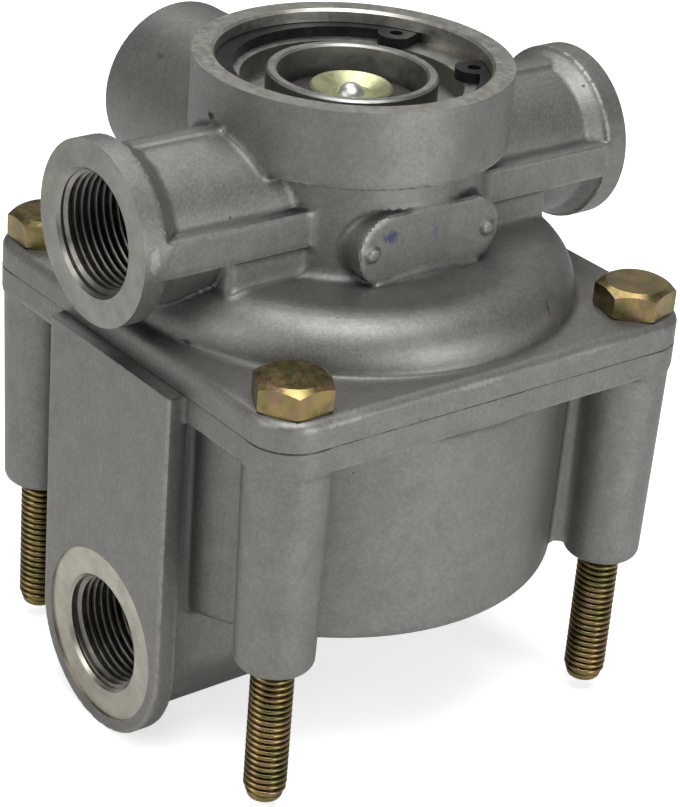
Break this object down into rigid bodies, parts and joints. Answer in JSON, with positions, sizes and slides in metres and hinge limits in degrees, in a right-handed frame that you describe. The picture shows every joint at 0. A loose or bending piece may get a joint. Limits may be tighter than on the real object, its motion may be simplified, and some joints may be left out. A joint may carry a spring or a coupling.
{
  "type": "relay valve",
  "caption": "Compressed-air relay valve with a cast upper body, radial threaded ports, a lower control cover and through bolts in the corners of a square flange.",
  "frame": {"origin": "centre of the bolt pattern, on the undersides of the bolt bosses", "axes": "+Z towards the exhaust at the top, +Y towards the supply port, -X towards the control port"},
  "size_m": [0.1092, 0.1019, 0.1253],
  "materials": {
    "cast_aluminium": "as cast, matte",
    "turned_aluminium": "turned",
    "yellow_zinc": "yellow zinc plated",
    "plated_washer": "zinc plated, satin",
    "bright_steel": "bright",
    "black_steel": "phosphated, black",
    "seal_rubber": "matte",
    "flap_rubber": "matte",
    "band_plastic": "matte"
  },
  "bodies": {
    "housing": {"port_body": "cast_aluminium", "control_cover": "cast_aluminium", "mounting_bolt_1": "yellow_zinc", "mounting_bolt_2": "yellow_zinc", "mounting_bolt_3": "yellow_zinc", "mounting_bolt_4": "yellow_zinc", "flange_seal": "seal_rubber", "exhaust_insert": "turned_aluminium", "insert_seal": "seal_rubber", "retaining_ring": "black_steel", "exhaust_flap": "flap_rubber", "flap_washer": "plated_washer", "flap_rivet": "bright_steel", "valve_spring": "bright_steel"},
    "inlet_valve": {"valve_tube": "turned_aluminium", "valve_rubber": "seal_rubber", "valve_seal": "seal_rubber", "spring_seat": "bright_steel"},
    "piston": {"relay_piston": "cast_aluminium", "exhaust_seat": "turned_aluminium", "piston_seal": "seal_rubber", "guide_band": "band_plastic"}
  },
  "joints": [
    {"name": "piston_slide", "type": "slide", "parent": "housing", "child": "piston", "axis": [0, 0, 1], "range_m": [0, 0.00445]},
    {"name": "valve_slide", "type": "slide", "parent": "housing", "child": "inlet_valve", "axis": [0, 0, 1], "range_m": [0, 0.0025], "stiffness_N_per_m": 400, "deforming": ["valve_spring"]}
  ],
  "couplings": [
    {"joint": "valve_slide", "follows": "piston_slide", "ratio": 0.56}
  ]
}
